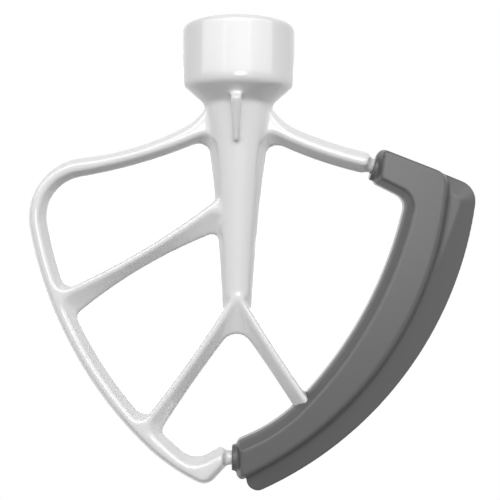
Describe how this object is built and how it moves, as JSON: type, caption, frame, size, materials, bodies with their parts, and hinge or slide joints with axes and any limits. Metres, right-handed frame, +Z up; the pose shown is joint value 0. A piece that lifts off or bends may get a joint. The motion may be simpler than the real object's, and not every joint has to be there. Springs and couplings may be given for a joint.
{
  "type": "stand mixer flat beater",
  "caption": "Flat beater for a stand mixer: white coated cast frame with a bayonet hub, tapered shaft and slanted bars, and a grey silicone wiping edge along one side.",
  "frame": {"origin": "centre of the shaft bore's mouth on the hub's top face", "axes": "+Z up along the bore, out of its mouth; +X towards the silicone edge; the frame lies in the XZ plane and its front looks along -Y"},
  "size_m": [0.1543, 0.0384, 0.1599],
  "materials": {
    "white_coat": "glossy white coat on a cast aluminium frame",
    "grey_silicone": "matte grey silicone"
  },
  "bodies": {
    "root": {"beater_frame": "white_coat", "flex_edge": "grey_silicone"}
  },
  "joints": []
}
